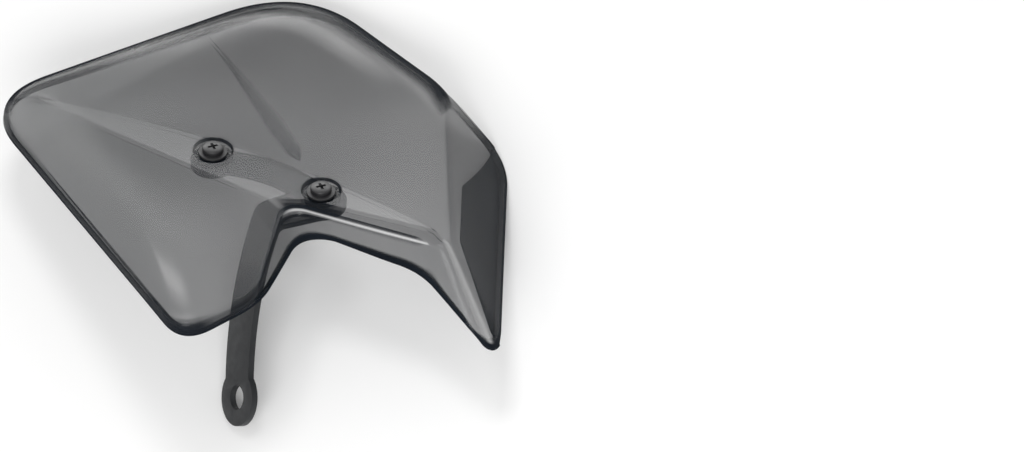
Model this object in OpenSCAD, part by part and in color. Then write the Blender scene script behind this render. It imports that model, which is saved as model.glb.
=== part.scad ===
// Hand guard for a handlebar: a thin moulded shield with a folded rim, carried by
// a bent steel bracket whose eye goes under the mirror stem. Millimetres.
//
// Everything is laid out in the shield's own plane first: X to the right, Y up the
// shield, Z out of its face, with the lower screw at the origin. The last step turns
// that layout so the guard stands on a bench on its crown, its wing and its eye.

/* [Shield] */
// Reach of the tip to the left of the lower screw
tip_reach = 150.5; // [147:0.5:155]
// Height of the crown's corner above the lower screw
crown_rise = 154; // [150:1:159]
// Distance of the wing's crest to the right of the lower screw
crest_side = 56.5; // [55:0.5:60]
// Depth of the toe's corner below the lower screw
toe_reach = 98; // [94:1:102]
// Wall thickness of the moulding
shield_wall = 2.5; // [2:0.25:2.75]
// Depth of the plain edge, face to rim
edge_depth = 4.6; // [4.2:0.2:7]
// Depth of the turned edge along the crown
crown_flange = 9.6; // [7:0.2:12]
// Depth of the turned edge round the toe
toe_flange = 7.4; // [5:0.2:10]
// Depth of the folded skirt over the arch
arch_skirt = 7; // [6:0.5:10]
// Drop of the wing from its crest to its rim
wing_drop = 40; // [32:1:46]
// How far the wing leans outwards over that drop
wing_flare = 27; // [20:0.5:30]
// Width of the lip folded in under the wing
lip_w = 20; // [10:1:22]
// Length of round left at each folded edge
edge_round = 3.2; // [2.9:0.1:3.6]
// Radius of the slight crown of the panels
panel_radius = 650; // [450:10:1200]
// Rise of the screw band across its width, in degrees
band_rise = 5; // [3:0.5:6]

/* [Screws and seats] */
// Thread diameter of the screws
screw_d = 5; // [4:0.5:6]
// Distance between the two screws
screw_pitch = 56; // [50:1:62]
// Direction of the second screw from the first, in degrees
screw_angle = 149; // [145:0.5:153]
// Diameter of the screw head
head_d = 9.5; // [8:0.5:11]
// Height of the screw head
head_h = 2.8; // [2.2:0.1:4]
// Width of the arms of the cross recess
cross_w = 1.3; // [0.8:0.1:1.6]
// Depth of the cross recess
cross_depth = 1.6; // [1:0.1:1.8]
// Clearance all round the screw in the shield
shield_clearance = 0.5; // [0.3:0.1:1]
// Clearance all round the screw in plates and washers
plate_clearance = 0.25; // [0.1:0.05:0.4]
// Diameter of the floor of each seat in the face
seat_d = 17; // [15:0.5:18]
// Depth of the seat below the face at the screw
seat_depth = 1.5; // [1:0.1:1.8]
// Slope of the seat's wall, as width over depth
seat_draft = 0.5; // [0.2:0.1:0.8]
// Outer diameter of the cushion washer under the head
cushion_d = 13; // [12:0.5:14.5]
// Thickness of the cushion washer
cushion_t = 1; // [0.6:0.1:1.4]
// Outer diameter of the rubber pad behind the shield
pad_d = 15; // [12:0.5:17]
// Thickness of the rubber pad
pad_t = 1.5; // [1.5:0.1:3]
// Outer diameter of the plain washer behind the bracket
washer_d = 10; // [9:0.5:12]
// Thickness of the plain washer
washer_t = 1; // [0.6:0.1:1.6]
// Across-flats size of the nut
nut_af = 8; // [7:0.5:10]
// Height of the nut
nut_h = 4.7; // [4:0.1:6]
// Length of thread left past the nut
thread_end = 1.2; // [0.5:0.1:3]

/* [Bracket] */
// Thickness of the steel
steel_t = 3; // [2:0.5:4]
// Inside radius of the bend
bend_r = 3; // [2:0.5:5]
// Angle of the bend
bend_angle = 71; // [65:1:78]
// Width of the curved arm between the screws
arm_w = 14; // [12:0.5:16]
// Radius of the arm's centre line
arm_radius = 60; // [50:1:90]
// Radius of the rounded arm end
arm_end_r = 10; // [8.5:0.5:11]
// Radius of the pad round the lower screw
pad_r = 11.5; // [9:0.5:12.5]
// Width of the strap
strap_w = 19; // [16:0.5:21]
// Length of the strap from the bend to the eye
strap_len = 82; // [72:1:95]
// Radius of the strap's centre line
strap_radius = 135; // [110:1:220]
// Outer diameter of the eye
eye_d = 25.5; // [22:0.5:28]
// Bore of the eye, clear of the mirror stem
eye_bore = 11; // [8.5:0.5:12.5]

/* [Bench pose] */
// Lean of the shield's face away from level
lean = 23.0; // [0:0.1:40]
// Roll of the shield's face towards its tip
roll = 5.5; // [-20:0.1:20]

/* [Hidden] */
$fn = 64;

// Screw 1 is at the far end of the arm, screw 2 at the origin.
screw_1_at = screw_pitch * [cos(screw_angle), sin(screw_angle)];
screw_2_at = [0, 0];
screws_at = [screw_1_at, screw_2_at];

// Levels of the clamped stack, from the face inwards.
seat_z = -seat_depth;
head_z = seat_z + cushion_t;
boss_z = seat_z - shield_wall;
boss_top = -tan(band_rise) * (seat_d / 2 + 1) - 0.2;
steel_z = boss_z - pad_t;
back_z = steel_z - steel_t;
nut_z = back_z - washer_t;
tail_z = nut_z - nut_h - thread_end;

// The shield's corners, clockwise from the tip as seen from the face. Each row holds
// the corner of the panel, how far from it its round begins, the way from there to
// the corner of the rim, where the rim's round begins, and the stations on the corner
// and on the side after it.
corners = [
    [[-tip_reach, 72, -3], 33, [-0.5, 0, -edge_depth], 33, 8, 10],
    [[-8, crown_rise, -4], 40, [3, 2.2, -crown_flange], 40, 10, 8],
    [[crest_side - 0.5, 74, 0], 14, [1, 1, -edge_depth], 10, 6, 3],
    [[crest_side, 40, 0], 12, [wing_flare, 30, -wing_drop], 16, 6, 8],
    [[crest_side + 3, -42, -1], 12, [wing_flare - 6.7, -29, -wing_drop - 2.6], 24, 8, 4],
    [[43, -34.5, -1.4], 4, [1, -6.5, -arch_skirt - 5], 10, 4, 8],
    [[-16, -9, -2], 10, [8, -8, -arch_skirt], 15, 8, 4],
    [[-28, -72, -2.6], 12, [1, 0, -edge_depth], 12, 4, 3],
    [[-63.5, -toe_reach, -3], 16, [1.5, -1, -toe_flange + 1], 17, 8, 1],
    [[-79, -67.5, -3], 5, [0, 0, -edge_depth], 5, 2, 5]
];
corner_count = len(corners);
stations = [for (c = corners) c[4] + c[5]];
total = sum_to(stations, corner_count);
half = total / 2;

// The band that carries the screws is a flat facet between two creases. Both start
// at the spear point near the tip. The upper one bows, and the lower one runs
// straight to the arch and then along the fold to the same end. The lower one's rows
// hold a station, counted back from the tip, and a point.
spear_point = [-126, 67];
spear_bow = [-30, 37];
spear_end = [50, -28.5];
lower_crease = [[0, spear_point], [33, [-23, -4.5]], [39, [-6, -5.5]], [47, [33, -21.5]], [59, spear_end]];

function sum_to(list, n) = n == 0 ? 0 : list[n - 1] + sum_to(list, n - 1);
function unit(v) = v / norm(v);
function mix(a, b, t) = (1 - t) * a + t * b;
function bezier(a, b, c, t) = mix(mix(a, b, t), mix(b, c, t), t);

// A closed loop through rounded corners, with the stations that the rows ask for.
function from_corner(points, cuts, c, step) =
    points[c] + cuts[c] * unit(points[(c + step + corner_count) % corner_count] - points[c]);
function rounded_loop(points, cuts) = [
    for (c = [0:corner_count - 1])
        each concat(
            [for (s = [0:corners[c][4] - 1])
                bezier(from_corner(points, cuts, c, -1), points[c],
                    from_corner(points, cuts, c, 1), s / corners[c][4])],
            [for (s = [0:corners[c][5] - 1])
                mix(from_corner(points, cuts, c, 1),
                    from_corner(points, cuts, (c + 1) % corner_count, -1), s / corners[c][5])])
];
// The loop is counted from the middle of the tip's round.
function from_tip(loop) = [for (i = [0:total - 1]) loop[(i + corners[0][4] / 2) % total]];

panel_edge = from_tip(rounded_loop([for (c = corners) c[0]], [for (c = corners) c[1]]));
rim_edge = from_tip(rounded_loop([for (c = corners) c[0] + c[2]], [for (c = corners) c[3]]));

// Height of the band's facet, level with the seats along the line of the screws.
band_normal = [sin(screw_angle), -cos(screw_angle)];
function band_z(p) = tan(band_rise) * (p * band_normal);
function on_band(p) = [p[0], p[1], band_z(p)];
function along(rows, s) = [for (axis = [0, 1]) lookup(s, [for (row = rows) [row[0], row[1][axis]]])];
function crease(i) = on_band(i <= half ? bezier(spear_point, spear_bow, spear_end, i / half)
    : along(lower_crease, total - i));
crease_loop = [for (i = [0:total - 1]) crease(i)];

// Share of the lip at a station: it starts at the wing's upper corner and narrows
// steadily to the tusk.
wing_from = sum_to(stations, 3) - corners[0][4] / 2 + 1;
tusk_from = sum_to(stations, 4) - corners[0][4] / 2;
function lip_share(i) = lookup(i, [[wing_from, 0], [wing_from + 5, 1], [wing_from + 8, 1], [tusk_from, 0.25],
    [tusk_from + 2, 0]]);

// Profile of the outer face at one station, from the rim's lip to the crease.
function fold_cut(i) = min(edge_round, 0.66 * norm(rim_edge[i] - panel_edge[i]));
function skirt_way(i) = unit(rim_edge[i] - panel_edge[i]);
function panel_way(i) = unit(crease_loop[i] - panel_edge[i]);
function fold_in(i) = panel_edge[i] + fold_cut(i) * panel_way(i);
function fold_out(i) = panel_edge[i] + fold_cut(i) * skirt_way(i);
function crowned(i, t) = mix(fold_in(i), crease_loop[i], t)
    + [0, 0, t * (1 - t) * pow(norm(crease_loop[i] - panel_edge[i]), 2) / (2 * panel_radius)];
function lip_end(i) = rim_edge[i] + mix(0.8 * skirt_way(i), [-lip_w, -0.1 * lip_w, 0], lip_share(i));
function profile(i) = concat(
    [lip_end(i), rim_edge[i], mix(rim_edge[i], fold_out(i), 0.5)],
    [for (t = [0:0.25:1]) bezier(fold_out(i), panel_edge[i], fold_in(i), t)],
    [for (t = [0.22, 0.48, 0.76]) crowned(i, t)],
    [crease_loop[i]]);

face = [for (i = [0:total - 1]) profile(i)];
rings = len(face[0]);

// Offset of the face by the wall, mitred between the strips on either side.
function strip_normal(i, k) =
    let (before = face[(i + total - 1) % total], after = face[(i + 1) % total])
    unit(cross(after[k] - before[k] + after[k + 1] - before[k + 1], face[i][k] - face[i][k + 1]));
// The creases, and the panels round both ends of the band, share one normal.
crease_normal = unit([-tan(band_rise) * band_normal[0] / 2, -tan(band_rise) * band_normal[1] / 2, 1]);
function by_end(i) = min(i, total - i, abs(i - half)) <= 5;
function vertex_normal(i, k) =
    let (below = strip_normal(i, max(k - 1, 0)), above = strip_normal(i, min(k, rings - 2)))
    k == rings - 1 || (k >= rings - 3 && by_end(i)) ? crease_normal
    : (below + above) / max(1 + below * above, 0.4);
back = [for (i = [0:total - 1]) [for (k = [0:rings - 1]) face[i][k] - shield_wall * vertex_normal(i, k)]];

// Triangles of the shell. The face comes first in the point list, then the back.
function at(side, i, k) = (side * total + i % total) * rings + k;
function tile(a, b, c, d, flip) = flip ? [[a, c, b], [a, d, c]] : [[a, b, c], [a, c, d]];
function side_tiles(side) = [
    for (i = [0:total - 1], k = [0:rings - 2])
        each tile(at(side, i, k), at(side, i, k + 1), at(side, i + 1, k + 1), at(side, i + 1, k), side == 0)
];
function band_tiles(side) = [
    for (i = [0:half - 1])
        each i == 0 ? [side == 0 ? [at(side, 0, rings - 1), at(side, 1, rings - 1), at(side, total - 1, rings - 1)]
            : [at(side, 0, rings - 1), at(side, total - 1, rings - 1), at(side, 1, rings - 1)]]
        : i == half - 1
            ? [side == 0 ? [at(side, i, rings - 1), at(side, half, rings - 1), at(side, total - i, rings - 1)]
                : [at(side, i, rings - 1), at(side, total - i, rings - 1), at(side, half, rings - 1)]]
        : tile(at(side, i, rings - 1), at(side, i + 1, rings - 1), at(side, total - i - 1, rings - 1),
            at(side, total - i, rings - 1), side == 1)
];
rim_tiles = [for (i = [0:total - 1]) each tile(at(0, i, 0), at(0, i + 1, 0), at(1, i + 1, 0), at(1, i, 0), true)];

module shell() {
    polyhedron(points = concat([for (row = face) each row], [for (row = back) each row]),
        faces = concat(side_tiles(0), side_tiles(1), band_tiles(0), band_tiles(1), rim_tiles), convexity = 6);
}

// Hair's breadth left between the pad and the moulding it presses on.
pad_gap = 0.02;
// The bend stands this much proud of the flat steel all round, and the steel runs this
// far into it at both ends.
bend_proud = 0.02;
bend_lap = 0.3;

// A point of the bracket's bend line and the way the line runs.
bend_at = [-20.5, -9];
bend_turn = -63.8;
strap_sweep = strap_len / strap_radius * 180 / PI;
strap_centre = [strap_radius, 0];
strap_root = [0, -(steel_t + bend_r) * sin(bend_angle), (steel_t + bend_r) * (cos(bend_angle) - 1)];
eye_in_strap = concat(on_strap(strap_radius, strap_sweep), [-steel_t / 2]);
eye_at = [bend_at[0], bend_at[1], steel_z]
    + turned_z(bend_turn, strap_root + turned_x(bend_angle, eye_in_strap));

function turned_z(a, v) = [v[0] * cos(a) - v[1] * sin(a), v[0] * sin(a) + v[1] * cos(a), v[2]];
function turned_x(a, v) = [v[0], v[1] * cos(a) - v[2] * sin(a), v[1] * sin(a) + v[2] * cos(a)];
// A point of the strap's plane, at a radius and so many degrees along its curve.
function on_strap(r, a) = strap_centre - r * [cos(a), sin(a)];

// Turn from the shield's plane to the bench, with the middle of the eye at the origin.
module on_bench() {
    rotate([-lean, 0, 0]) rotate([0, roll, 0]) translate(-eye_at) children();
}

module at_screw(s, z) {
    translate([s[0], s[1], z]) children();
}

module ring(outer, inner, height) {
    difference() {
        cylinder(d = outer, h = height);
        translate([0, 0, -1]) cylinder(d = inner, h = height + 2);
    }
}

module shield() {
    color([0.42, 0.43, 0.45, 0.6]) on_bench() difference() {
        union() {
            shell();
            for (s = screws_at)
                at_screw(s, boss_z) cylinder(d = seat_d + 2, h = boss_top - boss_z);
        }
        for (s = screws_at) {
            at_screw(s, seat_z) cylinder(d1 = seat_d, d2 = seat_d + 12 * seat_draft, h = 6);
            at_screw(s, boss_z - 1) cylinder(d = screw_d + 2 * shield_clearance, h = shield_wall + 2);
        }
    }
}

// A band that follows an arc, so many degrees to either side of the X axis.
module arc_band(radius, width, reach) {
    far = (radius + width) / cos(reach);
    intersection() {
        difference() {
            circle(r = radius + width / 2, $fn = 180);
            circle(r = radius - width / 2, $fn = 180);
        }
        polygon([[0, 0], far * [cos(reach), -sin(reach)], far * [cos(reach), sin(reach)]]);
    }
}

// Flat part of the bracket: a curved arm between the screws, widened to the bend.
module bracket_flat() {
    mid = (screw_1_at + screw_2_at) / 2;
    swing = asin(screw_pitch / 2 / arm_radius);
    side = [cos(bend_turn), sin(bend_turn)] * (strap_w / 2 - bend_proud);
    root = bend_at + bend_lap * [sin(bend_turn), -cos(bend_turn)];
    across = unit([bend_at[1], -bend_at[0]]) * (pad_r - 0.6);
    translate([0, 0, back_z]) linear_extrude(steel_t) {
        translate(mid - arm_radius * cos(swing) * band_normal) rotate(screw_angle - 90) arc_band(arm_radius, arm_w, swing);
        translate(screw_1_at) circle(r = arm_end_r);
        translate(screw_2_at) circle(r = pad_r);
        polygon([root - side, root + side, -across, across]);
    }
}

// Bend, drawn from its line with the flat part towards +Y.
module bracket_bend() {
    translate([-strap_w / 2, 0, -steel_t - bend_r]) rotate([180, -90, 0])
        rotate_extrude(angle = bend_angle) translate([bend_r - bend_proud, 0])
            square([steel_t + 2 * bend_proud, strap_w]);
}

// Strap past the bend, with its eye, drawn in its own plane.
module bracket_strap() {
    lap = bend_lap / strap_radius * 180 / PI;
    translate([0, 0, -steel_t]) linear_extrude(steel_t) {
        translate(strap_centre) rotate(180 + (strap_sweep - lap) / 2)
            arc_band(strap_radius, strap_w - 2 * bend_proud, (strap_sweep + lap) / 2);
        translate([eye_in_strap[0], eye_in_strap[1]]) circle(d = eye_d);
    }
}

module at_bend() {
    translate([bend_at[0], bend_at[1], steel_z]) rotate([0, 0, bend_turn]) children();
}

module in_strap() {
    at_bend() translate(strap_root) rotate([bend_angle, 0, 0]) children();
}

module bracket() {
    color([0.12, 0.125, 0.135]) on_bench() difference() {
        union() {
            bracket_flat();
            at_bend() bracket_bend();
            in_strap() bracket_strap();
        }
        for (s = screws_at)
            at_screw(s, back_z - 1) cylinder(d = screw_d + 2 * plate_clearance, h = steel_t + 2);
        in_strap() translate(eye_in_strap - [0, 0, steel_t]) cylinder(d = eye_bore, h = 2 * steel_t);
    }
}

// Pan head with a domed top and a cross recess, on a plain shank.
module screw(s) {
    dome = (pow(head_d / 2, 2) + pow(0.35 * head_h, 2)) / (0.7 * head_h);
    color([0.05, 0.05, 0.055]) on_bench() difference() {
        union() {
            intersection() {
                at_screw(s, head_z) cylinder(d = head_d, h = head_h);
                at_screw(s, head_z + head_h - dome) sphere(r = dome, $fn = 96);
            }
            at_screw(s, tail_z + 0.6) cylinder(d = screw_d, h = head_z - tail_z);
            at_screw(s, tail_z) cylinder(d1 = screw_d - 1.2, d2 = screw_d, h = 0.6);
        }
        for (turn = [0, 90])
            at_screw(s, head_z + head_h - cross_depth) rotate([0, 0, turn + 20])
                translate([-head_d / 4, -cross_w / 2, 0]) cube([head_d / 2, cross_w, cross_depth + 1]);
    }
}

module cushion_washer(s) {
    color([0.08, 0.08, 0.085]) on_bench() at_screw(s, seat_z)
        ring(cushion_d, screw_d + 2 * plate_clearance, cushion_t);
}

module rubber_pad(s) {
    color([0.1, 0.1, 0.1]) on_bench() at_screw(s, steel_z)
        ring(pad_d, screw_d + 2 * shield_clearance, pad_t - pad_gap);
}

module plain_washer(s) {
    color([0.6, 0.61, 0.62]) on_bench() at_screw(s, nut_z)
        ring(washer_d, screw_d + 2 * plate_clearance, washer_t);
}

// Hexagon nut with the round collar of its locking insert on the far side.
module nut(s) {
    color([0.55, 0.56, 0.58]) on_bench() difference() {
        union() {
            at_screw(s, nut_z - 0.72 * nut_h) cylinder(d = nut_af / cos(30), h = 0.72 * nut_h, $fn = 6);
            at_screw(s, nut_z - nut_h) cylinder(d = 0.86 * nut_af, h = nut_h - 0.1);
        }
        at_screw(s, nut_z - nut_h - 1) cylinder(d = screw_d + 0.1, h = nut_h + 2);
    }
}

shield();
bracket();
screw(screw_1_at);  // screw_1
screw(screw_2_at);  // screw_2
cushion_washer(screw_1_at);  // cushion_washer_1
cushion_washer(screw_2_at);  // cushion_washer_2
rubber_pad(screw_1_at);  // rubber_pad_1
rubber_pad(screw_2_at);  // rubber_pad_2
plain_washer(screw_1_at);  // plain_washer_1
plain_washer(screw_2_at);  // plain_washer_2
nut(screw_1_at);  // nut_1
nut(screw_2_at);  // nut_2
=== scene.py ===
import bpy
import bmesh
import math
import numpy as np
from mathutils import Matrix, Vector
from mathutils.kdtree import KDTree


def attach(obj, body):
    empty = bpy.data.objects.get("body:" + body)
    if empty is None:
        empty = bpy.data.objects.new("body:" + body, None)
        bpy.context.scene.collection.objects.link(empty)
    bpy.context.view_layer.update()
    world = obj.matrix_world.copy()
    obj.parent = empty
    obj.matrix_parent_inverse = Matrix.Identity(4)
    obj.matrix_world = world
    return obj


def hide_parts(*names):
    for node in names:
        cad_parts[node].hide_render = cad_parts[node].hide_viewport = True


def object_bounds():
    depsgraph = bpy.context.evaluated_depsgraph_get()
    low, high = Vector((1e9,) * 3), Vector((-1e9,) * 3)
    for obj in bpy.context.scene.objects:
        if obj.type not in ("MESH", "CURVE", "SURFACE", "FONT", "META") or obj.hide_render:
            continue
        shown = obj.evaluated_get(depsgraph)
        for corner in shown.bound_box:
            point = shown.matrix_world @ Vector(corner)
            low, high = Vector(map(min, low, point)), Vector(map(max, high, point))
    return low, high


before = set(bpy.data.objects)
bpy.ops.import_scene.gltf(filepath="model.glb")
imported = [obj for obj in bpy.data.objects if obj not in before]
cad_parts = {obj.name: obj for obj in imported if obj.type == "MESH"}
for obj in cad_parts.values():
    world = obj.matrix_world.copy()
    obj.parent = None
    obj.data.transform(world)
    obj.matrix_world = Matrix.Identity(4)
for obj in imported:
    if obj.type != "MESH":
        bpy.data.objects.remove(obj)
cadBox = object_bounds()
print("frame loaded:", len(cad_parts), "nodes")

# Sizes here and below are millimetres in the shield's own plane: X right, Y up the
# shield, Z out of its face, with the lower screw at the origin.
guardLayout = {
    "lean": 23.0, "roll": 5.5,             # how the guard leans on its bench, degrees
    "screwPitch": 56, "screwAngle": 149,   # from the lower screw to the upper one
    "seatDepth": 1.5, "cushion": 1.0,      # a seat's depth, and the washer that lies in it
    # Thicknesses from the seat backwards.
    "wall": 2.5, "padThickness": 1.5, "steel": 3.0, "washer": 1.0, "nut": 4.7,
    "bendAt": (-20.5, -9.0), "bendTurn": -63.8, "bendAngle": 71, "bendRadius": 3,
    "strapLength": 82, "strapRadius": 135,
}


def turnX(angle):
    return np.array(Matrix.Rotation(math.radians(angle), 3, "X"))


def turnZ(angle):
    return np.array(Matrix.Rotation(math.radians(angle), 3, "Z"))


def eyeCentre(g):
    # The centre of the bracket's eye, which is the origin of the row frame.
    outer, bend = g["steel"] + g["bendRadius"], math.radians(g["bendAngle"])
    root = np.array([0, -outer * math.sin(bend), outer * (math.cos(bend) - 1)])
    radius, sweep = g["strapRadius"], g["strapLength"] / g["strapRadius"]
    eye = np.array([radius * (1 - math.cos(sweep)), -radius * math.sin(sweep), -g["steel"] / 2])
    level = -g["seatDepth"] - g["wall"] - g["padThickness"]
    strap = turnZ(g["bendTurn"]) @ (root + turnX(g["bendAngle"]) @ eye)
    return np.array([*g["bendAt"], level]) + strap


eyeAt = eyeCentre(guardLayout)
lean, roll = math.radians(guardLayout["lean"]), math.radians(guardLayout["roll"])
benchTurn = Matrix.Rotation(-lean, 4, "X") @ Matrix.Rotation(roll, 4, "Y")
toBench = Matrix.Scale(0.001, 4) @ benchTurn @ Matrix.Translation(Vector(-eyeAt))
screwAngle = math.radians(guardLayout["screwAngle"])
screwDirection = np.array([math.cos(screwAngle), math.sin(screwAngle)])
screwPlaces = {"1": guardLayout["screwPitch"] * screwDirection, "2": np.zeros(2)}
seatLevel = -guardLayout["seatDepth"]
headLevel = seatLevel + guardLayout["cushion"]
bossLevel = seatLevel - guardLayout["wall"]
steelLevel = bossLevel - guardLayout["padThickness"]
backLevel = steelLevel - guardLayout["steel"]
nutLevel = backLevel - guardLayout["washer"]
nutEnd = nutLevel - guardLayout["nut"]


def newPiece(name, points, faces):
    mesh = bpy.data.meshes.new(name)
    mesh.from_pydata([tuple(float(v) for v in p) for p in points], [], faces)
    mesh.validate()
    piece = bpy.data.objects.new(name, mesh)
    bpy.context.scene.collection.objects.link(piece)
    return piece


def tidyMesh(piece, merge=0.0):
    work = bmesh.new()
    work.from_mesh(piece.data)
    if merge:
        bmesh.ops.remove_doubles(work, verts=work.verts, dist=merge)
    bmesh.ops.recalc_face_normals(work, faces=work.faces)
    work.to_mesh(piece.data)
    work.free()


def applied(piece):
    # The evaluated mesh takes the place of the modifiers.
    graph = bpy.context.evaluated_depsgraph_get()
    mesh = bpy.data.meshes.new_from_object(piece.evaluated_get(graph))
    piece.modifiers.clear()
    piece.data = mesh
    return piece


def cutOrJoin(piece, tool, operation):
    # The tool is used up.
    step = piece.modifiers.new("step", "BOOLEAN")
    step.operation, step.solver, step.object = operation, "EXACT", tool
    applied(piece)
    bpy.data.objects.remove(tool)


def lathe(name, outline, at=(0, 0), steps=96):
    # A closed outline of (radius, height) turned about the screw axis.
    points, faces, rings = [], [], []
    turns = [2 * math.pi * s / steps for s in range(steps)]
    for radius, height in outline:
        if radius < 1e-6:
            rings.append([len(points)] * steps)
            points.append((at[0], at[1], height))
        else:
            rings.append(list(range(len(points), len(points) + steps)))
            points += [(at[0] + radius * math.cos(a), at[1] + radius * math.sin(a), height)
                       for a in turns]
    for k in range(len(outline)):
        a, b = rings[k], rings[(k + 1) % len(outline)]
        if a[0] == a[1] and b[0] == b[1]:
            continue
        for s in range(steps):
            t = (s + 1) % steps
            face = [a[s], a[t], b[t], b[s]]
            faces.append([v for n, v in enumerate(face) if v not in face[:n]])
    piece = newPiece(name, points, faces)
    tidyMesh(piece)
    return piece


def roundedOutline(corners, cut=0.15, steps=3):
    # Rounds the corners of a closed outline of (radius, height), but not on the axis.
    outline, count = [], len(corners)
    for k in range(count):
        here, before, after = (np.array(corners[n % count], float) for n in (k, k - 1, k + 1))
        if here[0] < 1e-6:
            outline.append(tuple(here))
            continue
        a, b = (here + unit(way) * min(cut, 0.45 * np.linalg.norm(way))
                for way in (before - here, after - here))
        outline += [tuple(curveAt(a, here, b, s / steps)) for s in range(steps + 1)]
    return outline


def curveAt(a, b, c, t):
    # A quadratic curve from a to c, drawn towards b.
    return (1 - t) ** 2 * a + 2 * t * (1 - t) * b + t * t * c


def unit(v):
    return v / np.maximum(np.linalg.norm(v, axis=-1, keepdims=True), 1e-9)


def finish(piece, material, node, angle=32):
    # Smooth up to the angle, with its material, then handed to the frame in place of its node.
    piece.data.validate()
    piece.data.shade_smooth()
    piece.data.set_sharp_from_angle(angle=math.radians(angle))
    piece.data.materials.clear()
    piece.data.materials.append(material)
    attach(piece, "root")
    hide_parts(node)
    print(" ", piece.name, len(piece.data.polygons), "faces")


class nodeSheet:
    # Shorthand for wiring one procedural material.
    def __init__(self, name):
        self.material = bpy.data.materials.new(name)
        self.material.use_nodes = True
        self.tree = self.material.node_tree
        self.shader = self.tree.nodes["Principled BSDF"]
        self.place = self.add("ShaderNodeTexCoord").outputs["Object"]

    def add(self, kind, **settings):
        node = self.tree.nodes.new(kind)
        for key, value in settings.items():
            setattr(node, key, value)
        return node

    def link(self, source, target):
        self.tree.links.new(source, target)

    def noise(self, scale, detail=3.0, roughness=0.5, distortion=0.0):
        node = self.add("ShaderNodeTexNoise")
        for key, value in (("Scale", scale), ("Detail", detail),
                           ("Roughness", roughness), ("Distortion", distortion)):
            node.inputs[key].default_value = value
        self.link(self.place, node.inputs["Vector"])
        return node.outputs["Fac"]

    def ramp(self, source, stops):
        node = self.add("ShaderNodeValToRGB")
        band = node.color_ramp
        while len(band.elements) < len(stops):
            band.elements.new(0.5)
        for element, (at, colour) in zip(band.elements, stops):
            element.position = at
            element.color = (*colour, 1)
        self.link(source, node.inputs["Fac"])
        return node.outputs["Color"]

    def spread(self, source, low, high, fromLow=0.0, fromHigh=1.0):
        node = self.add("ShaderNodeMapRange")
        for key, value in (("From Min", fromLow), ("From Max", fromHigh),
                           ("To Min", low), ("To Max", high)):
            node.inputs[key].default_value = value
        self.link(source, node.inputs["Value"])
        return node.outputs["Result"]

    def bump(self, source, strength, distance, under=None):
        node = self.add("ShaderNodeBump")
        node.inputs["Strength"].default_value = strength
        node.inputs["Distance"].default_value = distance
        self.link(source, node.inputs["Height"])
        if under is not None:
            self.link(under, node.inputs["Normal"])
        return node.outputs["Normal"]

    def maths(self, operation, *values):
        node = self.add("ShaderNodeMath", operation=operation)
        for socket, value in zip(node.inputs, values):
            if isinstance(value, (int, float)):
                socket.default_value = value
            else:
                self.link(value, socket)
        return node.outputs[0]

    def marked(self, name, output):
        return self.add("ShaderNodeAttribute", attribute_name=name).outputs[output]

    def cloudy(self, noise, colour, gain, low, high):
        # The colour, and where the noise is high a paler one.
        return self.ramp(noise, [(low, colour), (high, tuple(gain * v for v in colour))])

    def set(self, **values):
        for key, value in values.items():
            self.shader.inputs[key.replace("_", " ")].default_value = value


# The moulding is clear where it is seen face on, and dense at a slant and at the rim, with
# painted shade along its folds; painted shade darkens it towards the tip. The streak is a
# painted dark reflection, placed in the shield's plane: where it starts, its direction, its
# length and half its width, with shares of that width along it. A seat's ring of painted
# shade is its radius, how sharp it is, the way from the camera, and from where to where it darkens.
mouldingLook = {
    "tint": (0.0065, 0.0085, 0.012), "tintGain": 1.5, "roughness": 0.115,
    "peel": 0.0025, "peelScales": (420, 60),
    "clear": 0.39, "slant": 0.54, "tipShade": 0.16, "tipReach": (-150, -10),
    "rimDensity": 0.985, "highlightTone": 0.75, "gloss": 0.4, "rimGloss": 0.08, "rimFrom": 0.68,
    "paintedStreak": 0.3, "streakAt": (-48, 108), "streakTurn": -65.6, "streakLength": 94,
    "streakHalf": 4.6, "streakSoft": (0.5, 1.0),
    "streakShares": [(0.0, 0.03), (0.25, 0.3), (0.72, 1.0), (0.94, 0.8), (1.0, 0.0)],
    "seatRing": 8.8, "seatSoft": (0.3, 0.6), "seatAway": (0.5, 0.87), "seatDark": (0.62, 0.96, -2, 7),
}


def paintedReflectionStreak(m, plate, look):
    # A painted dark reflection: the wedge that runs from the crown down to the lower screw.
    turned = m.add("ShaderNodeMapping", vector_type="TEXTURE")
    turned.inputs["Location"].default_value = (*look["streakAt"], 0)
    turned.inputs["Rotation"].default_value = (0, 0, math.radians(look["streakTurn"]))
    m.link(plate, turned.inputs["Vector"])
    parts = m.add("ShaderNodeSeparateXYZ")
    m.link(turned.outputs[0], parts.inputs[0])
    along = m.spread(parts.outputs["X"], 0, 1, 0, look["streakLength"])
    shares = m.ramp(along, [(at, (share,) * 3) for at, share in look["streakShares"]])
    half = m.maths("MULTIPLY", m.maths("ADD", shares, 0.001), look["streakHalf"])
    off = m.maths("DIVIDE", m.maths("ABSOLUTE", parts.outputs["Y"]), half)
    return m.spread(off, 1, 0, *look["streakSoft"])


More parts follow.
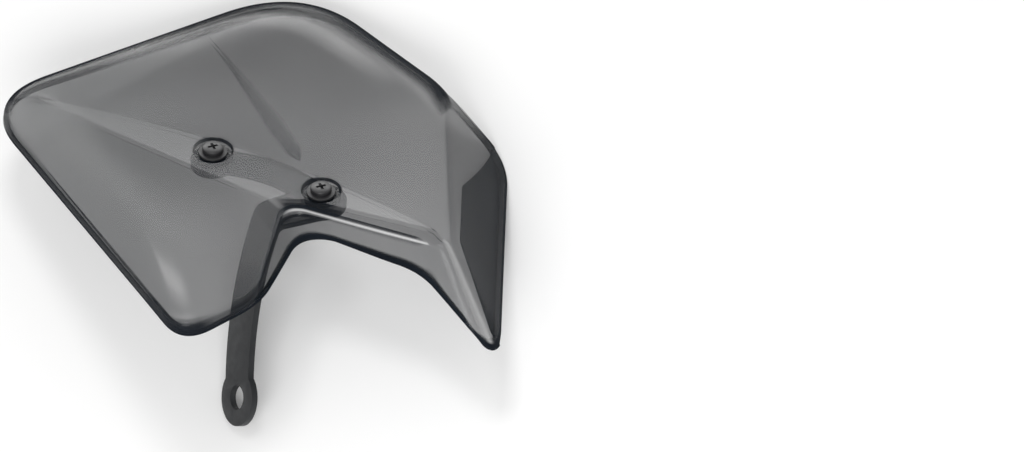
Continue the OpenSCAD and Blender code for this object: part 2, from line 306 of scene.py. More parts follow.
def seatShade(m, plate, place, look):
    # Painted shade on the steep wall of a seat, darkest on the side away from the camera.
    flat = m.add("ShaderNodeVectorMath", operation="MULTIPLY")
    flat.inputs[1].default_value = (1, 1, 0)
    m.link(plate, flat.inputs[0])
    away = m.add("ShaderNodeVectorMath", operation="SUBTRACT")
    away.inputs[1].default_value = (place[0], place[1], 0)
    m.link(flat.outputs[0], away.inputs[0])
    size = m.add("ShaderNodeVectorMath", operation="LENGTH")
    side = m.add("ShaderNodeVectorMath", operation="DOT_PRODUCT")
    side.inputs[1].default_value = (*look["seatAway"], 0)
    m.link(away.outputs[0], size.inputs[0])
    m.link(away.outputs[0], side.inputs[0])
    off = m.maths("ABSOLUTE", m.maths("SUBTRACT", size.outputs["Value"], look["seatRing"]))
    ring = m.spread(off, 1, 0, *look["seatSoft"])
    return m.maths("MULTIPLY", ring, m.spread(side.outputs["Value"], *look["seatDark"]))


def smokedMoulding(look):
    # Smoked moulding: it lets less light through where the wall is seen at a slant. Painted
    # shade, painted highlights and a painted reflection streak are laid in its colour and density.
    m = nodeSheet("smokedMoulding")
    rim, plate = m.marked("rimDepthAndShade", "Fac"), m.marked("platePlace", "Vector")
    # Painted highlights: where edgeLight is high, the colour goes to a pale tone.
    paintedHighlight = m.add("ShaderNodeMix", data_type="RGBA")
    m.link(m.marked("edgeLight", "Fac"), paintedHighlight.inputs["Factor"])
    # Sockets 6 and 7 of a colour mix are its colours, and output 2 is its result.
    body = m.cloudy(m.noise(18, 4, 0.6, 0.4), look["tint"], look["tintGain"], 0.3, 0.7)
    m.link(body, paintedHighlight.inputs[6])
    paintedHighlight.inputs[7].default_value = (look["highlightTone"],) * 3 + (1,)
    m.link(paintedHighlight.outputs[2], m.shader.inputs["Base Color"])
    rough = m.spread(m.noise(140, 3), look["roughness"] - 0.03, look["roughness"] + 0.04, 0.3, 0.7)
    m.link(rough, m.shader.inputs["Roughness"])

    facing = m.add("ShaderNodeLayerWeight")
    facing.inputs["Blend"].default_value = 0.5
    slant = m.spread(facing.outputs["Facing"], look["clear"], look["slant"])
    parts = m.add("ShaderNodeSeparateXYZ")
    m.link(plate, parts.inputs[0])
    # Painted shade: darker towards the tip.
    tip = m.spread(parts.outputs["X"], look["tipShade"], 0, *look["tipReach"])
    # The painted dark reflection streak.
    paintedStreak = m.maths("MULTIPLY", paintedReflectionStreak(m, plate, look), look["paintedStreak"])
    dense = m.maths("ADD", m.maths("ADD", slant, tip), paintedStreak)
    # The rim's density, with its painted shade along folds and creases.
    dense = m.maths("MAXIMUM", dense, m.spread(rim, 0, look["rimDensity"]))
    # Painted shade in the seats.
    for place in screwPlaces.values():
        dense = m.maths("MAXIMUM", dense, seatShade(m, plate, place, look))
    m.link(dense, m.shader.inputs["Alpha"])

    fineScale, broadScale = look["peelScales"]
    fine = m.bump(m.noise(fineScale, 2), look["peel"], 0.0004)
    for socket in ("Normal", "Coat Normal"):
        broad = m.bump(m.noise(broadScale, 2, 0.4), look["peel"] * 0.6, 0.002, fine)
        m.link(broad, m.shader.inputs[socket])
    gloss = m.spread(rim, look["gloss"], look["rimGloss"], look["rimFrom"], 1.0)
    m.link(gloss, m.shader.inputs["Coat Weight"])
    m.set(IOR=1.5, Specular_IOR_Level=0.0, Coat_Roughness=look["roughness"], Coat_IOR=1.5)
    return m.material


coatLook = {
    "colour": (0.014, 0.015, 0.0165), "paler": 1.45, "roughness": 0.42,
    "grain": 0.08, "grainScale": 900, "shine": 0.3,
}


def satinBlackCoat(look):
    m = nodeSheet("satinBlackCoat")
    colour = m.cloudy(m.noise(55, 4, 0.6), look["colour"], look["paler"], 0.35, 0.7)
    m.link(colour, m.shader.inputs["Base Color"])
    rough = m.spread(m.noise(260, 4), look["roughness"] - 0.06, look["roughness"] + 0.1, 0.3, 0.7)
    m.link(rough, m.shader.inputs["Roughness"])
    m.link(m.bump(m.noise(look["grainScale"], 3), look["grain"], 0.0003), m.shader.inputs["Normal"])
    m.set(IOR=1.5, Specular_IOR_Level=look["shine"])
    return m.material


# Colour, roughness, depth and scale of the grain, and metal or not.
hardwareLooks = {
    "blackScrewSteel": ((0.008, 0.008, 0.009), 0.42, 0.08, 900, 0.0),
    "blackNylon": ((0.013, 0.013, 0.014), 0.55, 0.15, 1200, 0.0),
    "padRubber": ((0.018, 0.018, 0.018), 0.75, 0.35, 1500, 0.0),
    "zincPlate": ((0.42, 0.43, 0.45), 0.32, 0.12, 700, 1.0),
}


def hardwareFinish(name):
    colour, roughness, grain, scale, metal = hardwareLooks[name]
    m = nodeSheet(name)
    m.link(m.cloudy(m.noise(scale * 0.2, 3), colour, 1.6, 0.3, 0.75), m.shader.inputs["Base Color"])
    rough = m.spread(m.noise(scale * 0.5, 3), roughness - 0.05, roughness + 0.08, 0.3, 0.7)
    m.link(rough, m.shader.inputs["Roughness"])
    m.link(m.bump(m.noise(scale, 3), grain, 0.0002), m.shader.inputs["Normal"])
    m.set(Metallic=metal)
    return m.material


print("materials")
shieldMaterial = smokedMoulding(mouldingLook)
bracketMaterial = satinBlackCoat(coatLook)
screwMaterial = hardwareFinish("blackScrewSteel")
nylonMaterial = hardwareFinish("blackNylon")
rubberMaterial = hardwareFinish("padRubber")
zincMaterial = hardwareFinish("zincPlate")

shieldForm = {
    "edgeDepth": 4.6, "crownFlange": 9.6, "toeFlange": 7.4, "archSkirt": 7,
    "wingDrop": 40, "wingFlare": 27, "lipWidth": 20, "edgeRound": 3.2, "rimRound": 1.3,
    "panelRadius": 650, "bandRise": 5, "finer": 4,
    "seatDiameter": 17, "seatDraft": 0.5, "holeDiameter": 6, "bossWall": 1,
    "spearPoint": (-126, 67), "spearBow": (-30, 37), "spearEnd": (50, -28.5),
    # The lower crease as (station from the tip backwards, x, y).
    "lowerCrease": [(0, -126, 67), (33, -23, -4.5), (39, -6, -5.5), (47, 33, -21.5), (59, 50, -28.5)],
}
# A skin's rings run from the free edge inwards: those of the softened rim, then the skirt,
# the fold, the panel and the crease. The unsoftened rim has two.
ringCounts = {"rim": 7, "skirt": 4, "fold": 11}


def shieldCorners(f):
    # Each corner, clockwise from the tip as seen from the face: the corner of the panel,
    # where its round begins, the way from there to the rim's corner, where the rim's round
    # begins, and the stations on the corner and on the side after it.
    return [
        ((-150.5, 72, -3), 33, (-0.5, 0, -f["edgeDepth"]), 33, 8, 10),
        ((-8, 154, -4), 40, (3, 2.2, -f["crownFlange"]), 40, 10, 8),
        ((56, 74, 0), 14, (1, 1, -f["edgeDepth"]), 10, 6, 3),
        ((56.5, 40, 0), 12, (f["wingFlare"], 30, -f["wingDrop"]), 16, 6, 8),
        ((59.5, -42, -1), 12, (f["wingFlare"] - 6.7, -29, -f["wingDrop"] - 2.6), 24, 8, 4),
        ((43, -34.5, -1.4), 4, (1, -6.5, -f["archSkirt"] - 5), 10, 4, 8),
        ((-16, -9, -2), 10, (8, -8, -f["archSkirt"]), 15, 8, 4),
        ((-28, -72, -2.6), 12, (1, 0, -f["edgeDepth"]), 12, 4, 3),
        ((-63.5, -98, -3), 16, (1.5, -1, -f["toeFlange"] + 1), 17, 8, 1),
        ((-79, -67.5, -3), 5, (0, 0, -f["edgeDepth"]), 5, 2, 5),
    ]


def roundedLoop(points, cuts, counts, finer):
    # A closed loop through the points with its corners rounded, in even stations.
    loop, count = [], len(points)
    for k in range(count):
        here, before, after = points[k], points[k - 1], points[(k + 1) % count]
        a = here + cuts[k] * unit(before - here)
        b = here + cuts[k] * unit(after - here)
        c = after + cuts[(k + 1) % count] * unit(here - after)
        corner, side = counts[k][0] * finer, counts[k][1] * finer
        loop += [curveAt(a, here, b, s / corner) for s in range(corner)]
        loop += [b + (c - b) * s / side for s in range(side)]
    return np.array(loop)


def creaseLine(f, station, rise, bandNormal):
    # Both creases of the band as one closed line: the upper one out, the lower one back.
    total, finer = len(station), f["finer"]
    half = total // 2
    t = np.clip(station / (half / finer), 0, 1)[:, None]
    point, bow, end = (np.array(f[name], float) for name in ("spearPoint", "spearBow", "spearEnd"))
    knots = np.array(f["lowerCrease"], float)
    back = total / finer - station
    lower = np.stack([np.interp(back, knots[:, 0], knots[:, a]) for a in (1, 2)], axis=1)
    flat = np.where((np.arange(total) <= half)[:, None], curveAt(point, bow, end, t), lower)
    return np.column_stack([flat, rise * flat @ bandNormal])


def innerSkin(face, station, finer, creaseNormal):
    # Mitred offset by the wall, as the solid is made.
    total, count = face.shape[:2]
    along = np.roll(face, -1, axis=0) - np.roll(face, 1, axis=0)
    strips = unit(np.cross(along[:, :-1] + along[:, 1:], face[:, :-1] - face[:, 1:]))
    below = strips[:, np.maximum(np.arange(count) - 1, 0)]
    above = strips[:, np.minimum(np.arange(count), count - 2)]
    spread = np.maximum(1 + (below * above).sum(axis=2, keepdims=True), 0.4)
    offset = (below + above) / spread
    # The creases, and the panels round both ends of the band, share one normal.
    end = total // 2 / finer
    fromEnd = np.minimum(np.minimum(station, total / finer - station), np.abs(station - end))
    firstInside = 2 + ringCounts["skirt"] + ringCounts["fold"] + 2
    inside = np.clip((np.arange(count) - firstInside) / 3, 0, 1)
    near = np.clip((7 - fromEnd) / 2, 0, 1)[:, None, None] * inside[None, :, None]
    offset = offset * (1 - near) + creaseNormal * near
    offset[:, -1] = creaseNormal
    return face - guardLayout["wall"] * offset


def shieldSurface(f):
    # Outer and inner skins of the shield as grids of stations by rings.
    corners, finer = shieldCorners(f), f["finer"]
    counts = [(c[4], c[5]) for c in corners]
    panelPoints = np.array([c[0] for c in corners], float)
    rimPoints = panelPoints + np.array([c[2] for c in corners], float)
    start = counts[0][0] * finer // 2
    panel = roundedLoop(panelPoints, [c[1] for c in corners], counts, finer)
    rim = roundedLoop(rimPoints, [c[3] for c in corners], counts, finer)
    panel, rim = np.roll(panel, -start, axis=0), np.roll(rim, -start, axis=0)
    total = len(panel)
    station = np.arange(total) / finer
    begin = [sum(a + b for a, b in counts[:n]) - counts[0][0] / 2 for n in range(len(corners))]

    rise = math.tan(math.radians(f["bandRise"]))
    bandNormal = np.array([screwDirection[1], -screwDirection[0]])
    crease = creaseLine(f, station, rise, bandNormal)

    wing, tusk = begin[3] + 1, begin[4]
    lip = np.interp(station, [wing, wing + 5, wing + 8, tusk, tusk + 2], [0, 1, 1, 0.25, 0])[:, None]
    skirt, inward = unit(rim - panel), unit(crease - panel)
    cut = np.minimum(f["edgeRound"], 0.66 * np.linalg.norm(rim - panel, axis=1))[:, None]
    foldIn, foldOut = panel + cut * inward, panel + cut * skirt
    lipWay = np.array([-f["lipWidth"], -0.1 * f["lipWidth"], 0])
    lipEnd = rim + (1 - lip) * 0.8 * skirt + lip * lipWay
    reach = np.linalg.norm(crease - panel, axis=1)[:, None]

    drop = np.linalg.norm(foldOut - rim, axis=1)[:, None]
    skirtShares = (np.minimum(2.6 / drop, 0.14), np.minimum(4.6 / drop, 0.26), 0.45, 0.72)
    rings = [lipEnd, rim] + [rim + (foldOut - rim) * s for s in skirtShares]
    turns = np.linspace(0, 1, ringCounts["fold"])
    rings += [curveAt(foldOut, panel, foldIn, t) for t in turns]
    span = np.linalg.norm(crease - foldIn, axis=1)[:, None]
    steps = [np.full_like(span, s) for s in (0.05, 0.12, 0.22, 0.34, 0.48, 0.62, 0.75, 0.86)]
    for share, size in ((0.09, 2.0), (0.05, 0.9), (0.02, 0.35)):
        steps.append(1 - np.minimum(share, size / span))
    crowned = np.array([0, 0, 1]) * reach ** 2 / (2 * f["panelRadius"])
    rings += [foldIn + (crease - foldIn) * s + crowned * s * (1 - s) for s in steps]
    face = np.stack(rings + [crease], axis=1)

    creaseNormal = unit(np.array([-rise * bandNormal[0] / 2, -rise * bandNormal[1] / 2, 1]))
    back = innerSkin(face, station, finer, creaseNormal)
    return face, back, wallMarks(station, total / finer, begin, drop, face.shape[1])


def wallMarks(station, whole, begin, drop, count):
    # Two marks for each point of a skin, once its rim is softened: how much smoked wall is
    # seen end on, with painted shade added at the far fold, the toe and the creases, and how
    # much painted highlight the edge takes. The short sides show less of the wall.
    tusk, none = begin[4], 0 * drop
    rimRings, skirtRings, foldRings = (ringCounts[name] for name in ("rim", "skirt", "fold"))
    count += rimRings - 2
    along = lambda places, values: np.interp(station, places, values)[:, None]
    arch = along([begin[5] - 1, begin[5] + 2, begin[7], begin[7] + 2], [0, 1, 1, 0])
    short = np.clip((24 - drop) / 10, 0, 1) * (1 - 0.8 * arch)
    # On the far side the fold is the dark outline: partly its wall seen end on, partly
    # painted shade. Its rim takes a painted highlight.
    far = along([0, 4, begin[2] + 4, begin[3], whole - 3, whole], [1, 1, 1, 0, 0, 1])
    # The deep rim at the toe is dark right up to its fold: partly its wall seen end on,
    # partly painted shade.
    toe = along([begin[7] + 1, begin[8] + 1, begin[9], begin[9] + 3], [0, 1, 1, 0])
    # A painted highlight runs inside the fold, along the crown.
    crownGlint = along([3, 9, begin[2] - 7, begin[2]], [0, 1, 1, 0])
    skirt = (0.4 + 0.3 * short, 0.68 * short, 0.68 * short)
    depthAndShade = [1 - 0.15 * far] * rimRings + [0.97 - 0.3 * far]
    depthAndShade += [np.maximum(d, 0.93 * toe) for d in skirt]
    for s in range(foldRings):
        fold = np.maximum(far, arch * (0.4 + 0.06 * s))
        fold = fold + (1 - far) * (1 - arch) * (0.68 - 0.04 * s) * short
        depthAndShade.append(np.maximum(fold, toe * (0.93 - 0.04 * s)))
    depthAndShade += [0.1 * short + 0.4 * far * short, 0.25 * crownGlint]
    # Painted shade darkens the last rings before the creases.
    creases = (0.25, 0.6, 0.68)
    depthAndShade += [none] * (count - len(creases) - len(depthAndShade)) + [none + d for d in creases]

    # Painted highlights: the rim on the far side, the fold of the arch and the ridge of the tusk.
    glint = along([begin[5] - 3, begin[5] - 1, begin[6] + 3, begin[6] + 7], [0, 1, 1, 0])
    ridge = 0.5 * np.exp(-((station - tusk - 4) / 0.6) ** 2)[:, None]
    light = [far * np.clip(station - 5, 0, 3)[:, None] / 3] * rimRings + [ridge] * skirtRings
    light += [np.maximum(ridge, glint * max(0, 1 - abs(s - 5) / 2)) for s in range(foldRings)]
    light += [none, 0.5 * crownGlint]
    light += [none] * (count - len(light))
    return np.stack([np.concatenate(depthAndShade, axis=1), np.concatenate(light, axis=1)], axis=2)


def softenRim(skin, cut):
    # Swaps the sharp corner of the rim for a small round.
    end, rim, nextOne = skin[:, 0], skin[:, 1], skin[:, 2]
    a, b = (rim + unit(way) * np.minimum(cut, 0.45 * np.linalg.norm(way, axis=1))[:, None]
            for way in (end - rim, nextOne - rim))
    rounds = [curveAt(a, rim, b, t) for t in np.linspace(0, 1, ringCounts["rim"] - 1)]
    return np.concatenate([end[:, None], np.stack(rounds, axis=1), skin[:, 2:]], axis=1)


def shieldMesh(f):
    # Both skins, the free edge and the band, with the two marks of each point.
    face, back, marks = shieldSurface(f)
    face, back = softenRim(face, f["rimRound"]), softenRim(back, 0.5 * f["rimRound"])
    total, rings = face.shape[:2]
    half = total // 2
    points = list(face.reshape(-1, 3)) + list(back.reshape(-1, 3))
    values = list(marks.reshape(-1, 2)) * 2
    at = lambda side, i, k: (side * total + i % total) * rings + k
    faces = []
    for side in (0, 1):
        for i in range(total):
            for k in range(rings - 1):
                quad = [at(side, i, k), at(side, i, k + 1), at(side, i + 1, k + 1), at(side, i + 1, k)]
                faces.append(quad[::1 if side else -1])
    # The free edge is closed by a half-round.
    edge = []
    for i in range(total):
        a, b = face[i, 0], back[i, 0]
        outwards = unit(face[i, 0] - face[i, 1])
        edge.append([])
        for s in (0.12, 0.3, 0.5, 0.7, 0.88):
            edge[i].append(len(points))
            points.append(a + (b - a) * s + outwards * 0.5 * math.sin(math.pi * s))
            values.append(marks[i, 0])
    for i in range(total):
        j = (i + 1) % total
        rowA = [at(0, i, 0), *edge[i], at(1, i, 0)]
        rowB = [at(0, j, 0), *edge[j], at(1, j, 0)]
        for k in range(len(rowA) - 1):
            faces.append([rowA[k], rowB[k], rowB[k + 1], rowA[k + 1]])
    # The band between the creases is flat across.
    for side, skin in ((0, face), (1, back)):
        rows = {}
        for i in range(1, half):
            a, b = skin[i, -1], skin[total - i, -1]
            width = max(np.linalg.norm(b - a), 1e-6)
            near = [min(0.06, 0.4 / width), min(0.14, 1.1 / width)]
            row = [at(side, i, rings - 1)]
            for s in [*near, 0.3, 0.5, 0.7, 1 - near[1], 1 - near[0]]:
                row.append(len(points))
                points.append(a + (b - a) * s)
                # The creases' painted shade fades out into the band.
                values.append(marks[i, -1] * max(0, 1 - min(s, 1 - s) * width / 0.9))
            rows[i] = row + [at(side, total - i, rings - 1)]
        for i in range(1, half - 1):
            for k in range(len(rows[i]) - 1):
                faces.append([rows[i][k], rows[i][k + 1], rows[i + 1][k + 1], rows[i + 1][k]])
        for tip, i in ((at(side, 0, rings - 1), 1), (at(side, half, rings - 1), half - 1)):
            for k in range(len(rows[i]) - 1):
                faces.append([tip, rows[i][k], rows[i][k + 1]])
    creases = [points[at(side, i, rings - 1)] for side in (0, 1) for i in range(total)]
    return points, faces, values, creases


def shieldPiece(f):
    points, faces, values, creases = shieldMesh(f)
    piece = newPiece("shieldShell", points, faces)
    tidyMesh(piece)
    floor = f["seatDiameter"] / 2
    radius, rim, hole = floor + f["bossWall"], floor + 6 * f["seatDraft"], f["holeDiameter"] / 2
    bossTop = -math.tan(math.radians(f["bandRise"])) * radius - 0.2
    bossOutline = [(0, bossTop), (0, bossLevel), (radius, bossLevel), (radius, bossTop)]
    seatOutline = [(0, seatLevel), (floor - 0.5, seatLevel), (floor - 0.1, seatLevel + 0.08),
                   (floor + 0.12, seatLevel + 0.35), (rim, seatLevel + 6), (0, seatLevel + 6)]
    holeOutline = [(0, bossLevel - 2), (hole, bossLevel - 2), (hole, 5), (0, 5)]
    for name, place in screwPlaces.items():
        cutOrJoin(piece, lathe("boss" + name, roundedOutline(bossOutline, 0.3), place), "UNION")
    for name, place in screwPlaces.items():
        cutOrJoin(piece, lathe("seat" + name, seatOutline, place), "DIFFERENCE")
        cutOrJoin(piece, lathe("hole" + name, holeOutline, place), "DIFFERENCE")
    tidyMesh(piece, 0.002)
    markWall(piece, points, np.array(values))
    tree = treeOf(creases)
    onCrease = {n for n, vertex in enumerate(piece.data.vertices) if tree.find(vertex.co)[2] < 0.004}
    piece.data.transform(toBench)
    return piece, onCrease


def treeOf(places):
    tree = KDTree(len(places))
    for n, place in enumerate(places):
        tree.insert(place, n)
    tree.balance()
    return tree


def markWall(piece, places, values):
    # Each vertex takes the mean of the values nearest to it, and its place in the plate.
    tree = treeOf(places)
    marks = [piece.data.attributes.new(name, "FLOAT", "POINT") for name in ("rimDepthAndShade", "edgeLight")]
    plate = piece.data.attributes.new("platePlace", "FLOAT_VECTOR", "POINT")
    for n, vertex in enumerate(piece.data.vertices):
        near = tree.find_n(vertex.co, 3)
        weights = np.array([1 / (distance + 0.02) for co, k, distance in near])
        mean = weights @ values[[k for co, k, distance in near]] / weights.sum()
        for mark, value in zip(marks, mean):
            mark.data[n].value = value
        plate.data[n].vector = vertex.co


print("shield")
shield, onCrease = shieldPiece(shieldForm)
finish(shield, shieldMaterial, "shield", 40)
# The creases stay sharp, whatever their angle.
sharp = shield.data.attributes["sharp_edge"]
for edge in shield.data.edges:
    if onCrease.issuperset(edge.vertices):
        sharp.data[edge.index].value = True

bracketForm = {"edgeBreak": 0.45, "edgeSteps": 3}


def bracketPiece(f):
    # The CAD steel with its edges broken.
    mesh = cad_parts["bracket"].data.copy()
    piece = bpy.data.objects.new("bracketSteel", mesh)
    bpy.context.scene.collection.objects.link(piece)
    work = bmesh.new()
    work.from_mesh(mesh)
    bmesh.ops.remove_doubles(work, verts=work.verts, dist=1e-6)
    bmesh.ops.dissolve_limit(work, angle_limit=math.radians(0.6), verts=work.verts, edges=work.edges)
    work.to_mesh(mesh)
    work.free()
    soften = piece.modifiers.new("edges", "BEVEL")
    soften.width, soften.segments = f["edgeBreak"] * 0.001, f["edgeSteps"]
    soften.limit_method, soften.angle_limit = "ANGLE", math.radians(50)
    soften.use_clamp_overlap = True
    return applied(piece)


print("bracket")
finish(bracketPiece(bracketForm), bracketMaterial, "bracket", 30)

screwForm = {
    "headDiameter": 9.5, "headHeight": 2.8, "crossWidth": 1.3, "crossDepth": 1.6, "crossTurn": 20,
    "threadDiameter": 5.0, "threadPitch": 0.8, "threadDepth": 0.45, "pastNut": 1.2,
}


def threadTree(f, material):
    # Winds a pointed ridge along a spiral.
    tree = bpy.data.node_groups.new("screwThread", "GeometryNodeTree")
    face = tree.interface
    face.new_socket("Geometry", in_out="OUTPUT", socket_type="NodeSocketGeometry")
    inputs = {"Pitch": f["threadPitch"], "Radius": f["threadDiameter"] / 2 - f["threadDepth"],
              "Length": 10.0, "Depth": f["threadDepth"]}
    for name, value in inputs.items():
        face.new_socket(name, in_out="INPUT", socket_type="NodeSocketFloat").default_value = value
    start, end = tree.nodes.new("NodeGroupInput"), tree.nodes.new("NodeGroupOutput")
    link = lambda a, b: tree.links.new(a, b)
    turns = tree.nodes.new("ShaderNodeMath")
    turns.operation = "DIVIDE"
    link(start.outputs["Length"], turns.inputs[0])
    link(start.outputs["Pitch"], turns.inputs[1])
    spiral = tree.nodes.new("GeometryNodeCurveSpiral")
    spiral.inputs["Resolution"].default_value = 40
    link(turns.outputs[0], spiral.inputs["Rotations"])
    for source, target in (("Radius", "Start Radius"), ("Radius", "End Radius"), ("Length", "Height")):
        link(start.outputs[source], spiral.inputs[target])
    upright = tree.nodes.new("GeometryNodeSetCurveNormal")
    upright.mode = "Z_UP"
    link(spiral.outputs["Curve"], upright.inputs["Curve"])
    ridge = tree.nodes.new("GeometryNodeCurvePrimitiveCircle")
    ridge.inputs["Resolution"].default_value = 4
    link(start.outputs["Depth"], ridge.inputs["Radius"])
    sweep = tree.nodes.new("GeometryNodeCurveToMesh")
    sweep.inputs["Fill Caps"].default_value = True
    link(upright.outputs["Curve"], sweep.inputs["Curve"])
    link(ridge.outputs["Curve"], sweep.inputs["Profile Curve"])
    real = tree.nodes.new("GeometryNodeRealizeInstances")
    link(sweep.outputs["Mesh"], real.inputs["Geometry"])
    paint = tree.nodes.new("GeometryNodeSetMaterial")
    paint.inputs["Material"].default_value = material
    link(real.outputs["Geometry"], paint.inputs["Geometry"])
    link(paint.outputs["Geometry"], end.inputs["Geometry"])
    return tree


def threadRidge(tree, place, low, length):
    piece = newPiece("ridge", [], [])
    step = piece.modifiers.new("thread", "NODES")
    step.node_group = tree
    for item in tree.interface.items_tree:
        if item.in_out == "INPUT" and item.name == "Length":
            step[item.identifier] = length
    applied(piece)
    piece.data.transform(Matrix.Translation((place[0], place[1], low)))
    return piece


def joined(name, *pieces):
    # One object that holds the meshes of the pieces, which are removed.
    work = bmesh.new()
    for piece in pieces:
        work.from_mesh(piece.data)
        bpy.data.objects.remove(piece)
    mesh = bpy.data.meshes.new(name)
    work.to_mesh(mesh)
    work.free()
    whole = bpy.data.objects.new(name, mesh)
    bpy.context.scene.collection.objects.link(whole)
    return whole


def crossTool(f, place, top, turn):
    # One bar of the cross recess, wider and longer at the top.
    way = math.radians(f["crossTurn"] + turn)
    wide, long, low = f["crossWidth"] / 2, f["headDiameter"] / 4, top - f["crossDepth"]
    points = []
    for lengthShare, widthShare, z in ((0.55, 0.7, low), (1.15, 1.1, top + 0.6)):
        for x, y in ((-long, -wide), (long, -wide), (long, wide), (-long, wide)):
            x, y = x * lengthShare, y * widthShare
            points.append((place[0] + x * math.cos(way) - y * math.sin(way),
                           place[1] + x * math.sin(way) + y * math.cos(way), z))
    sides = [(3, 2, 1, 0), (4, 5, 6, 7), (0, 1, 5, 4), (1, 2, 6, 5), (2, 3, 7, 6), (3, 0, 4, 7)]
    return newPiece("slot", points, sides)


def screwPiece(f, name, place, tree):
    tail, thread = nutEnd - f["pastNut"], f["threadDiameter"] / 2
    core = thread - f["threadDepth"]
    radius, top, crown = f["headDiameter"] / 2, headLevel + f["headHeight"], 0.35 * f["headHeight"]
    turns = np.linspace(math.pi / 2, 0, 14)
    dome = [(radius * math.sin(a), top - crown + crown * math.cos(a)) for a in turns]
    dome = [(r if r > 1e-3 else 0, z) for r, z in dome]
    outline = [(0, tail), (core - 0.5, tail), (core, tail + 0.5), (core, headLevel - 1.2),
               (thread, headLevel - 0.9), (thread, headLevel),
               (radius - 0.25, headLevel), (radius, headLevel + 0.25)]
    body = lathe("body", outline + dome, place)
    for turn in (0, 90):
        cutOrJoin(body, crossTool(f, place, top, turn), "DIFFERENCE")
    ridge = threadRidge(tree, place, tail + 0.9, headLevel - 2.4 - tail)
    piece = joined("screw" + name, body, ridge)
    piece.data.transform(toBench)
    return piece


print("screws")
threadNodes = threadTree(screwForm, screwMaterial)
for name, place in screwPlaces.items():
    screw = screwPiece(screwForm, name, place, threadNodes)
    finish(screw, screwMaterial, "screw_" + name)

stackForm = {
    "cushion": {"outer": 13, "inner": 5.5, "height": guardLayout["cushion"], "cut": 0.3},
    "pad": {"outer": 15, "inner": 6, "height": guardLayout["padThickness"] - 0.02, "cut": 0.35},
    "plain": {"outer": 10, "inner": 5.5, "height": guardLayout["washer"], "cut": 0.12},
    "nutAcross": 8, "collarShare": 0.28, "nutBore": 5.1,
}


def ringPiece(name, place, low, f):
    outer, inner, top = f["outer"] / 2, f["inner"] / 2, low + f["height"]
    outline = roundedOutline([(inner, low), (outer, low), (outer, top), (inner, top)], f["cut"])
    piece = lathe(name, outline, place)
    piece.data.transform(toBench)
    return piece


def nutPiece(name, place, f):
    # A hexagon with turned corners, a round collar and a plain bore, made about the origin.
    across, height, bore = f["nutAcross"], guardLayout["nut"], f["nutBore"] / 2
    corner, hexLow = across / math.sqrt(3), nutLevel - (1 - f["collarShare"]) * height
    flat, tip = across / 2 - 0.1, corner + 0.05
    turned = lathe("turned", [(bore, nutLevel), (flat, nutLevel), (tip, nutLevel - 0.45),
                              (tip, hexLow + 0.45), (flat, hexLow), (bore, hexLow)])
    points = [(corner * math.cos(math.radians(60 * s)), corner * math.sin(math.radians(60 * s)), z)
              for z in (hexLow - 1, nutLevel + 1) for s in range(6)]
    sides = [(5, 4, 3, 2, 1, 0), (6, 7, 8, 9, 10, 11)]
    sides += [(s, (s + 1) % 6, (s + 1) % 6 + 6, s + 6) for s in range(6)]
    cutOrJoin(turned, newPiece("hexagon", points, sides), "INTERSECT")
    outer, low, high = 0.43 * across, nutEnd, hexLow + 0.4
    collar = roundedOutline([(bore, low), (outer, low), (outer, high), (bore, high)], 0.35)
    cutOrJoin(turned, lathe("collar", collar), "UNION")
    turned.name = name
    turned.data.transform(toBench @ Matrix.Translation((*place, 0)))
    return turned


print("washers, pads and nuts")
for name, place in screwPlaces.items():
    cushion = ringPiece("cushionWasher" + name, place, seatLevel, stackForm["cushion"])
    finish(cushion, nylonMaterial, "cushion_washer_" + name)
    pad = ringPiece("rubberPad" + name, place, steelLevel, stackForm["pad"])
    finish(pad, rubberMaterial, "rubber_pad_" + name)
    washer = ringPiece("plainWasher" + name, place, nutLevel, stackForm["plain"])
    finish(washer, zincMaterial, "plain_washer_" + name)
    nut = nutPiece("lockNut" + name, place, stackForm)
    finish(nut, zincMaterial, "nut_" + name)

# Sizes and places here are metres in the row frame, but for centre and viewOff: they are
# millimetres, the photo's middle in its own plane and how far along its view that lies.
# The photo's right, up and back are directions in the shield's own frame.
studio = {
    "floorTone": 0.93, "floorHalf": 3, "floorGap": 0.0002, "worldTone": 0.6, "seenTone": 0.8,
    "card": {"across": (-1.1, 1.0), "upright": (0.0, 1.2), "back": 2.1,
             "steps": [(0.0, 7.0), (0.10, 7.0), (0.15, 2.6), (0.35, 3.2),
                       (0.52, 5.5), (0.68, 7.0), (0.8, 5.0), (1.2, 3.0)]},
    # Lamps, all aimed at the middle of the guard: watts, size and place.
    "lamps": {"overhead": (10, (0.5, 0.5), (0.03, 0.38, 2.15)),
              "bandGlint": (1.7, (0.28, 0.14), (0.06, 2.05, 0.97)),
              "front": (30, (1.4, 0.9), (-0.2, -1.6, 1.6))},
    "aim": (0.02, 0.09, 0.03),
    "photoScale": 0.000444, "imageWidth": 1024, "centre": (84.8, -16.0), "viewOff": -40,
    "right": (1, 0, 0), "up": (0, 0.616, 0.788), "back": (0, -0.788, 0.616), "cameraAway": 2.0,
}


def lightPanel(name, power, size, place, aim):
    light = bpy.data.lights.new(name, "AREA")
    light.shape, light.energy = "RECTANGLE", power
    light.size, light.size_y = size
    lamp = bpy.data.objects.new(name, light)
    lamp.location = place
    lamp.rotation_euler = (Vector(aim) - Vector(place)).to_track_quat("-Z", "Y").to_euler()
    bpy.context.scene.collection.objects.link(lamp)
    return lamp


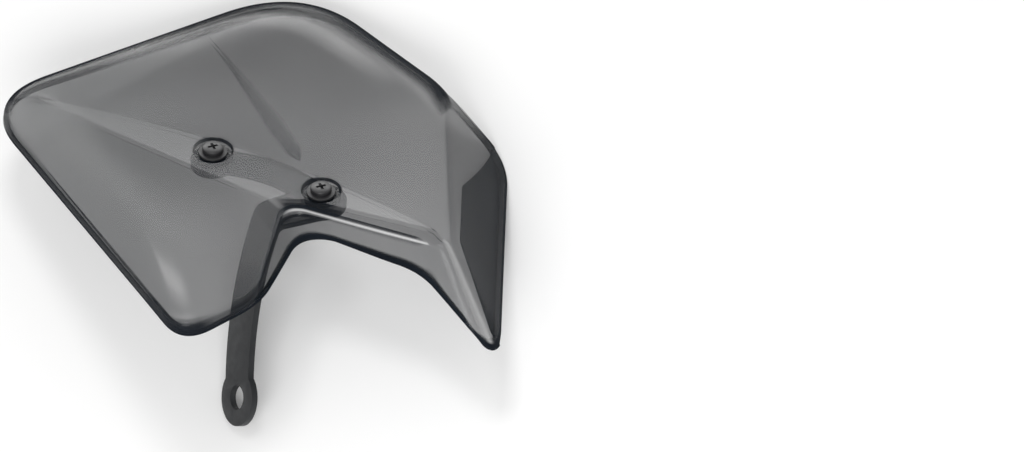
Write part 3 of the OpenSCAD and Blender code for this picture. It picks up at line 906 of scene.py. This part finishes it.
def glowCard(c):
    # An upright card behind the guard, with its light graded from foot to head.
    (left, right), (low, high), y = c["across"], c["upright"], c["back"]
    corners = [(left, y, low), (left, y, high), (right, y, high), (right, y, low)]
    card = newPiece("glowCard", corners, [(0, 1, 2, 3)])
    m = nodeSheet("gradedGlow")
    height = m.add("ShaderNodeSeparateXYZ")
    m.link(m.place, height.inputs[0])
    brightest = max(v for at, v in c["steps"])
    glow = m.add("ShaderNodeEmission")
    glow.inputs["Strength"].default_value = brightest
    stops = [((at - low) / (high - low), (v / brightest,) * 3) for at, v in c["steps"]]
    m.link(m.ramp(m.spread(height.outputs["Z"], 0, 1, low, high), stops), glow.inputs["Color"])
    m.link(glow.outputs[0], m.tree.nodes["Material Output"].inputs["Surface"])
    card.data.materials.append(m.material)
    card.visible_diffuse = False


def bench(s):
    # A floor of pale paper just under the guard.
    low, half, tone = cadBox[0][2] - s["floorGap"], s["floorHalf"], s["floorTone"]
    corners = [(-half, -half, low), (half, -half, low), (half, half, low), (-half, half, low)]
    floor = newPiece("benchTop", corners, [(0, 1, 2, 3)])
    m = nodeSheet("benchPaper")
    stops = [(0.3, (tone,) * 3), (0.7, (tone * 0.99, tone * 0.99, tone * 0.985))]
    m.link(m.ramp(m.noise(3, 2), stops), m.shader.inputs["Base Color"])
    m.set(Roughness=0.9, Specular_IOR_Level=0.1)
    floor.data.materials.append(m.material)


def softRoom(s):
    # The camera sees a pale grey, and the light comes from a darker one.
    world = bpy.data.worlds.new("softRoom")
    bpy.context.scene.world = world
    world.use_nodes = True
    nodes, link = world.node_tree.nodes, world.node_tree.links.new
    nodes.clear()
    seen, room = nodes.new("ShaderNodeBackground"), nodes.new("ShaderNodeBackground")
    seen.inputs["Color"].default_value = (s["seenTone"],) * 3 + (1,)
    room.inputs["Color"].default_value = (s["worldTone"],) * 3 + (1,)
    path, mix, out = (nodes.new("ShaderNode" + kind) for kind in ("LightPath", "MixShader", "OutputWorld"))
    link(path.outputs["Is Camera Ray"], mix.inputs["Fac"])
    link(room.outputs[0], mix.inputs[1])
    link(seen.outputs[0], mix.inputs[2])
    link(mix.outputs[0], out.inputs["Surface"])


def photoCamera(s):
    # The photo looks at the shield from 38 degrees above its plane.
    data = bpy.data.cameras.new("photoView")
    data.type = "ORTHO"
    data.ortho_scale = s["imageWidth"] * s["photoScale"]
    data.clip_start, data.clip_end = 0.05, 20
    right, up, back = Vector(s["right"]), Vector(s["up"]), Vector(s["back"])
    middle = toBench @ (right * s["centre"][0] + up * s["centre"][1] + back * s["viewOff"])
    onBench = benchTurn.to_3x3()
    turn = onBench @ Matrix((right, up, back)).transposed()
    place = middle + onBench @ back * s["cameraAway"]
    camera = bpy.data.objects.new("photoView", data)
    camera.matrix_world = Matrix.Translation(place) @ turn.to_4x4()
    bpy.context.scene.collection.objects.link(camera)
    bpy.context.scene.camera = camera


print("bench, lights and camera")
bench(studio)
softRoom(studio)
lamps = {name: lightPanel(name, *values, studio["aim"]) for name, values in studio["lamps"].items()}
lamps["bandGlint"].visible_diffuse = False
glowCard(studio["card"])
photoCamera(studio)
bpy.context.scene.view_settings.view_transform = "Standard"
